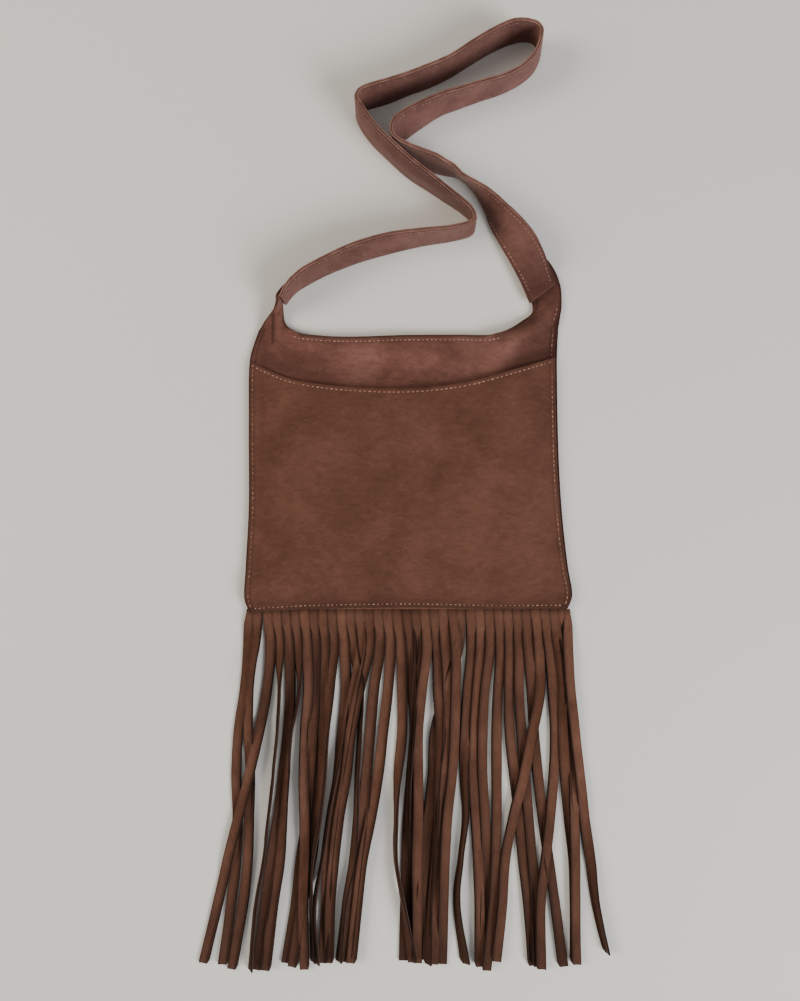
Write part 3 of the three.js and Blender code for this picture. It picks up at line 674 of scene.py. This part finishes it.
# ---- the fringe
fringe = {"pitch": 7.55, "width": 6.8, "firstX": -130.5, "lastX": 131, "cutY": -101.5,
          "headerLeft": -127.5, "headerRight": 128.5, "headerTop": -92,
          "stations": [0, 30, 65, 100, 135, 170, 205, 240], "rows": 84, "columns": 5,
          "thickness": 1.3, "rootWidth": 7.42, "twist": 12, "rollShare": 0.86, "highest": 3.6,
          "leanOn": 2.4, "curl": 0.35, "ripple": 0.3, "turned": 1.4, "drop": 1.6,
          "flat": (0.268, 0.305), "area": 0.0741}
strands = [  # each one's layer, its length, and its drift and roll in degrees past each station
    (0, 291, (-1, -4, -9, -11, -10, -11, -15, -22), (0, 8, 10, 5, 0, 0, 5, 0)),
    (0, 295, (-2, -6, -8, -7, -8, -9, -13, -22), (30, 40, 15, 5, 0, 0, 0, 0)),
    (1, 290, (2, -1, -7, -15, -24, -33, -41, -53), (0, 0, 8, 12, 10, 5, 0, 0)),
    (0, 295, (2, 3, 1, -2, -6, -10, -16, -21), (10, 75, 85, 80, 85, 80, 75, 60)),
    (0, 294, (2, 3, 1, -3, -7, -12, -17, -24), (0, 0, 0, 5, 0, 0, 0, 0)),
    (0, 294, (2, 4, -2, -6, -9, -12, -18, -24), (10, 80, 85, 50, 30, 20, 0, 0)),
    (1, 294, (2, 3, 0, -1, 0, 0, -1, 0), (0, -35, -50, -50, -25, 0, 0, 0)),
    (0, 290, (1, 1, -1, -3, -6, -11, -15, -23), (0, 0, 0, 0, 5, 0, 0, 0)),
    (0, 292, (1, 0, -1, -2, -6, -10, -17, -25), (0, 0, 0, 0, 0, 0, 0, 0)),
    (0, 288, (1, -2, -4, -5, -9, -15, -16, -15), (0, 10, 60, 85, 80, 80, 75, 60)),
    (1, 288, (2, 3, 0, -4, -10, -15, -21, -19), (0, 0, 20, 65, 80, 80, 70, 60)),
    (0, 288, (2, 8, 8, 6, 5, 2, -4, -9), (10, 30, 60, 70, 60, 50, 60, 50)),
    (1, 288, (1, -5, -11, -17, -22, -26, -28, -30), (0, 0, 0, 0, 0, 0, 0, 0)),
    (2, 288, (0, -8, -15, -19, -25, -29, -32, -33), (0, 0, 5, 0, 0, 0, 0, 0)),
    (1, 288, (1, -4, -7, -10, -13, -17, -21, -26), (0, 0, 0, 0, 0, 0, 0, 0)),
    (2, 288, (2, 0, -4, -8, -14, -21, -25, -30), (0, 0, 0, 5, 8, 0, 0, 0)),
    (1, 288, (3, 4, 4, 1, 0, 0, 6, 13), (0, 0, 10, 40, 75, 80, 60, 30)),
    (0, 288, (4, 5, 6, 3, 1, 0, -1, -2), (0, 10, 60, 70, 40, 10, 0, 0)),
    (0, 288, (4, 2, 1, 0, -1, 0, 1, 1), (0, 0, 0, 0, 0, 0, 0, 0)),
    (1, 288, (3, -1, -4, -4, -4, -5, -5, -5), (0, 0, 0, 0, 0, 0, 0, 0)),
    (1, 288, (4, 5, 7, 4, 3, 1, -3, -4), (0, 0, 30, 70, 80, 70, 60, 50)),
    (1, 289, (3, 5, 5, 2, -1, -3, -5, -7), (0, 0, 0, 0, 0, 0, 0, 0)),
    (1, 291, (4, 4, 3, 1, -3, -5, -6, -7), (0, 0, 0, 0, 0, 0, 0, 0)),
    (0, 286, (-1, -10, -20, -22, -26, -29, -32, -32), (0, 0, 0, 0, 0, 0, 0, 0)),
    (0, 290, (2, -1, -3, -4, -3, -7, -10, -3), (0, 0, 0, 45, 80, 80, 70, 40)),
    (1, 292, (2, -1, -3, -4, -2, 0, 1, 1), (0, 0, 0, 0, 0, 0, 0, 0)),
    (0, 290, (2, -2, -4, -4, -2, -1, -2, -4), (0, 0, 0, 0, 0, 0, 0, 0)),
    (2, 294, (3, 1, 0, 0, 0, -1, -3, -9), (0, 0, 0, 0, 0, 0, 0, 0)),
    (0, 292, (3, 2, 3, 7, 11, 14, 18, 22), (0, 0, 0, 0, 0, 0, 0, 0)),
    (0, 292, (3, 3, 5, 8, 11, 14, 17, 18), (0, 0, 0, 0, 0, 0, 0, 0)),
    (0, 293, (3, 6, 8, 11, 15, 20, 25, 32), (0, 0, 0, 0, 0, 0, 0, 0)),
    (2, 287, (4, 5, -1, -8, -17, -23, -26, -31), (0, 40, 30, 10, 0, 0, 0, 0)),
    (1, 293, (5, 8, 10, 9, 6, 2, -2, -2), (0, 0, 0, 0, 0, 0, 0, 0)),
    (0, 290, (5, 8, 9, 11, 14, 18, 19, 19), (30, 40, 40, 30, 20, 20, 20, 20)),
    (1, 290, (3, 6, 8, 10, 10, 11, 11, 12), (0, 0, 0, 0, 0, 0, 0, 0)),
    (2, 281, (0, 2, 6, 10, 14, 19, 23, 32), (0, 0, 0, 0, 20, 40, 75, 80)),
]


def strandRows(number):  # one strand's plan: middle points, roll and distance down at each row
    _, length, drift, roll = strands[number]
    rootX = min(fringe["firstX"] + fringe["pitch"] * number, fringe["lastX"])
    distances = [*fringe["stations"], length]
    corners = [Vector((rootX + side, fringe["cutY"] - down, 0))
               for side, down in zip((0, *drift), distances)]
    rolls = [Vector((turn * fringe["rollShare"], down, 0))
             for turn, down in zip((0, *roll), distances)]
    rows = []
    for j in range(fringe["rows"] + 1):
        t = j / fringe["rows"]
        middle = splinePoint(corners, t)
        down = fringe["cutY"] - middle.y
        turn = splinePoint(rolls, t).x
        turn += wave(number * 31, middle.y, 21, 45) * fringe["twist"] * ease(down, 5, 60)
        rows.append({"middle": middle, "roll": math.radians(turn), "down": down})
    return rows


def near(values, index):  # the values up to three places away
    return values[max(index - 3, 0):index + 4]


def layStrands():  # each strand settles on the ones laid before it
    plans = [strandRows(number) for number in range(len(strands))]
    half, thick = fringe["width"] / 2, fringe["thickness"]
    laid = []
    for number in sorted(range(len(strands)), key=lambda n: (strands[n][0], n)):
        rows = plans[number]
        support = []
        for row in rows:
            row["reach"] = half * abs(math.cos(row["roll"])) + thick * 0.5 * abs(math.sin(row["roll"]))
            under = 0.0
            for other in laid:
                index = round(row["down"] / other[-1]["down"] * (len(other) - 1))
                spot = other[min(index, len(other) - 1)]
                if abs(spot["middle"].x - row["middle"].x) < row["reach"] + spot["reach"] - 0.6:
                    under = max(under, spot["top"])
            support.append(min(under, fringe["highest"]))
        wide = [max(near(support, k)) for k in range(len(support))]
        eased = [sum(near(wide, k)) / len(near(wide, k)) for k in range(len(wide))]
        for row, under in zip(rows, eased):
            tall = 2 * half * abs(math.sin(row["roll"])) + thick * abs(math.cos(row["roll"]))
            row["top"] = under + min(tall, fringe["leanOn"]) + 0.05
            row["middle"].z = under + tall / 2
        laid.append(rows)
    return plans


def makeFringe():
    bm = bmesh.new()
    tone = bm.verts.layers.float.new("tone")
    header = bmesh.ops.create_grid(bm, x_segments=60, y_segments=2, size=0.5)["verts"]
    for vert in header:
        x = mix(fringe["headerLeft"], fringe["headerRight"], vert.co.x + 0.5)
        vert.co = Vector((x, mix(fringe["cutY"], fringe["headerTop"], vert.co.y + 0.5), frontSeamZ))
    columns, last = fringe["columns"], fringe["rows"]
    for number, rows in enumerate(layStrands()):
        made = bmesh.ops.create_grid(bm, x_segments=columns, y_segments=last, size=0.5)["verts"]
        # random tone for each strand, with painted shade on the bottom layer that lies under the others
        shade = 0.28 * random.random() + 0.2 * (strands[number][0] == 0)
        facing = 1 if rows[0]["middle"].x < 0 else -1
        for vert in made:
            column = round((vert.co.x * facing + 0.5) * columns)
            j = round((0.5 - vert.co.y) * last)
            turned = column == columns  # the last column is the edge that turns down
            side = facing * (min(column, columns - 1) / 2 - 1)
            row = rows[j]
            ahead = rows[min(j + 1, last)]["middle"] - rows[max(j - 1, 0)]["middle"]
            flatAcross = Vector((-ahead.y, ahead.x, 0)).normalized()
            across = flatAcross * math.cos(row["roll"]) + Vector((0, 0, math.sin(row["roll"])))
            up = across.cross(ahead).normalized()
            width = mix(fringe["rootWidth"], fringe["width"], ease(row["down"], 18, 60)) / 2
            width *= 1 + 0.06 * wave(number * 11, row["down"], 22, 30)
            if (number == 0 and side < 0) or (number == len(strands) - 1 and side > 0):
                width *= mix(0.35, 1, ease(row["down"], -2, 16))
            curl = fringe["curl"] * (0.4 - side * side) * (1 + wave(number * 5, row["down"], 23, 60))
            ripple = fringe["ripple"] * wave(number * 9, row["down"], 24, 16)
            vert.co = row["middle"] + across * side * width
            vert.co += up * (curl + ripple) * ease(row["down"], 0, 20)
            if turned:
                free = ease(row["down"], 3, 30) * ease(rows[-1]["down"] - row["down"], 0, 5)
                vert.co += across * side * mix(0.05, fringe["turned"], free)
                vert.co -= up * fringe["drop"] * free
            lying = max(vert.co.z + floorZ, floorZ + fringe["thickness"] / 2)
            fall = 1 - ease(row["down"], 2, 24)
            vert.co.z = mix(lying, max(vert.co.z, frontSeamZ - 0.15), fall)
            # painted shade at the root, on the turned sides and outer columns, and on strands standing
            # on edge; also darker toward the tips
            root = 0.45 * hump(row["down"], 0, 6)
            shadow = 0.95 * turned + 0.3 * (column in (0, columns - 1))
            shadow += 0.5 * abs(math.sin(row["roll"])) ** 2
            shadow += 0.38 * ease(row["down"], 110, 300)
            vert[tone] = clamp(shade + root + shadow + 0.25 * wave(number * 3, row["down"], 25, 45))
    piece = makeObject("fringeStrands", bm, ["fringe", "shadedFringeEdge"], ["fringe"])
    thicken(piece, fringe["thickness"], 0.22, 0)


makeFringe()
print("fringe made")

# ---- sewing thread: rows of separate stitches
stitch = {"width": 1.0, "height": 0.75, "share": 0.64, "skew": 7, "skewSpread": 5, "sunk": 0.1}
surface = sheetLayers["suede"] / 2


def stitchRow(bm, tone, points, normals, pitch, shade):
    lengths = [0.0]
    for a, b in zip(points, points[1:]):
        lengths.append(lengths[-1] + (b - a).length)
    for number in range(int(lengths[-1] / pitch)):
        goal = (number + 0.5 + random.uniform(-0.05, 0.05)) * pitch
        index = min(bisect_right(lengths, goal), len(points) - 1) - 1
        share = (goal - lengths[index]) / max(lengths[index + 1] - lengths[index], 1e-9)
        ahead = (points[index + 1] - points[index]).normalized()
        up = (normals[index] - ahead * normals[index].dot(ahead)).normalized()
        skew = math.radians(random.gauss(stitch["skew"], stitch["skewSpread"]))
        ahead = ahead * math.cos(skew) + up.cross(ahead) * math.sin(skew)
        turn = Matrix((up, up.cross(ahead), ahead)).transposed().to_4x4()
        size = Vector((stitch["height"], stitch["width"], pitch * stitch["share"])) / 2
        size *= random.uniform(0.85, 1.15)
        sunk = points[index].lerp(points[index + 1], share) - up * stitch["sunk"]
        matrix = Matrix.Translation(sunk) @ turn @ Matrix.Diagonal((*size, 1))
        made = bmesh.ops.create_uvsphere(bm, u_segments=6, v_segments=6, radius=1,
                                         matrix=matrix)["verts"]
        value = clamp(shade + random.uniform(-0.25, 0.35))
        for vert in made:
            vert[tone] = value


def stitchPiece(name, routes, pitch, nodes, shade=0.0):
    bm = bmesh.new()
    tone = bm.verts.layers.float.new("tone")
    for place, amounts in routes:
        points = [place(amount, 0) for amount in amounts]
        above = [place(amount, 1) for amount in amounts]
        stitchRow(bm, tone, points, [b - a for a, b in zip(points, above)], pitch, shade)
    makeObject(name, bm, ["thread"], nodes)


def spaced(low, high, count):
    return [mix(low, high, k / count) for k in range(count + 1)]


def hemRoute(u, lift):
    return pocketPoint(u, 1 - stitchLine["hem"] / body["pocketLength"], surface + lift)


def mouthRoute(u, lift):
    return frontPoint(u, 1 - stitchLine["mouth"] / body["length"], surface + lift)


def bottomRoute(u, lift):
    return pocketPoint(u, stitchLine["bottom"] / body["pocketLength"], surface + lift)


def leftRoute(v, lift):
    return pocketPoint(stitchLine["side"] / body["width"], v, surface + lift)


def rightRoute(v, lift):
    return pocketPoint(1 - stitchLine["right"] / body["width"], v, surface + lift)


def yokeRoute(v, lift):
    return frontPoint(1 - stitchLine["right"] / body["width"], v, surface + lift)


def tabRoute(v, lift):  # the side seam goes on up the right tab
    point = rightTab(frontSeamZ)((74, 123, frontSeamZ), (121, 128, frontSeamZ))(0.88, v)
    return point + Vector((0, 0, surface + lift))


stitchPiece("pocketHemStitches", [(hemRoute, spaced(0.008, 0.985, 120))], 3.85, ["pocket_hem_thread"])
stitchPiece("mouthHemStitches", [(mouthRoute, spaced(0.122, 0.81, 90))], 3.6, ["mouth_hem_thread"])
stitchPiece("bottomSeamStitches", [(bottomRoute, spaced(0.02, 0.98, 120))], 3.7,
            ["bottom_seam_thread"], 0.1)
stitchPiece("leftSeamStitches", [(leftRoute, spaced(0.02, 0.985, 100))], 4.0,
            ["left_seam_thread"], 0.6)
stitchPiece("rightSeamStitches", [(rightRoute, spaced(0.02, 0.985, 100))], 4.0,
            ["right_seam_thread"], 0.6)
stitchPiece("yokeSeamStitches", [(yokeRoute, spaced(0.88, 1.0, 20)), (tabRoute, spaced(0.05, 0.38, 20))],
            4.0, ["yoke_seam_thread"], 0.6)
strapSurface = strap["layerOut"] + surface
strapNear, strapFar = spaced(0.008, 0.16, 80), spaced(0.163, 0.997, 360)
for name, upper, node in (("strapLowerStitches", False, "strap_lower_thread"),
                          ("strapUpperStitches", True, "strap_upper_thread")):
    def outerRoute(t, lift, side=1, upper=upper):
        across = strapWidth(t) - strap["stitchInset"] if upper else strap["stitchInset"]
        return strapPoint(t, across, side * (strapSurface + lift))

    def liningRoute(t, lift):
        return outerRoute(t, lift, -1)

    stitchPiece(name, [(outerRoute, strapNear), (liningRoute, strapNear)], 3.3, [node], 0.42)
    stitchPiece(name + "Far", [(outerRoute, strapFar), (liningRoute, strapFar)], 3.3, [], 0.75)
print("stitches made")

# ---- floor and light
floorMaterial = Graph("paleFloor")
floorMaterial.shader.inputs["Base Color"].default_value = (0.805, 0.778, 0.724, 1)
floorMaterial.shader.inputs["Roughness"].default_value = 0.6
bm = bmesh.new()
bmesh.ops.create_grid(bm, x_segments=1, y_segments=1, size=3)
floorMesh = bpy.data.meshes.new("floor")
bm.to_mesh(floorMesh)
bm.free()
floor = bpy.data.objects.new("floor", floorMesh)
floorMesh.materials.append(floorMaterial.material)
scene.collection.objects.link(floor)

lights = {
    "southEast": {"at": (2.5, -1.85, 1.9), "size": 1.7, "power": 140, "color": (0.955, 0.975, 1.0)},
    "west": {"at": (-2.6, 0.3, 1.7), "size": 1.5, "power": 66, "color": (1.0, 0.89, 0.74)},
}
for name, values in lights.items():
    lamp = bpy.data.lights.new(name, "AREA")
    lamp.energy, lamp.size, lamp.color = values["power"], values["size"], values["color"]
    holder = bpy.data.objects.new(name, lamp)
    holder.location = values["at"]
    holder.rotation_euler = (Vector((0, 0, 0)) - holder.location).to_track_quat("-Z", "Y").to_euler()
    scene.collection.objects.link(holder)
world = bpy.data.worlds.new("softSky")
world.use_nodes = True
world.node_tree.nodes["Background"].inputs["Color"].default_value = (0.96, 0.98, 1.0, 1)
world.node_tree.nodes["Background"].inputs["Strength"].default_value = 0.38
scene.world = world
print("floor and lights set")
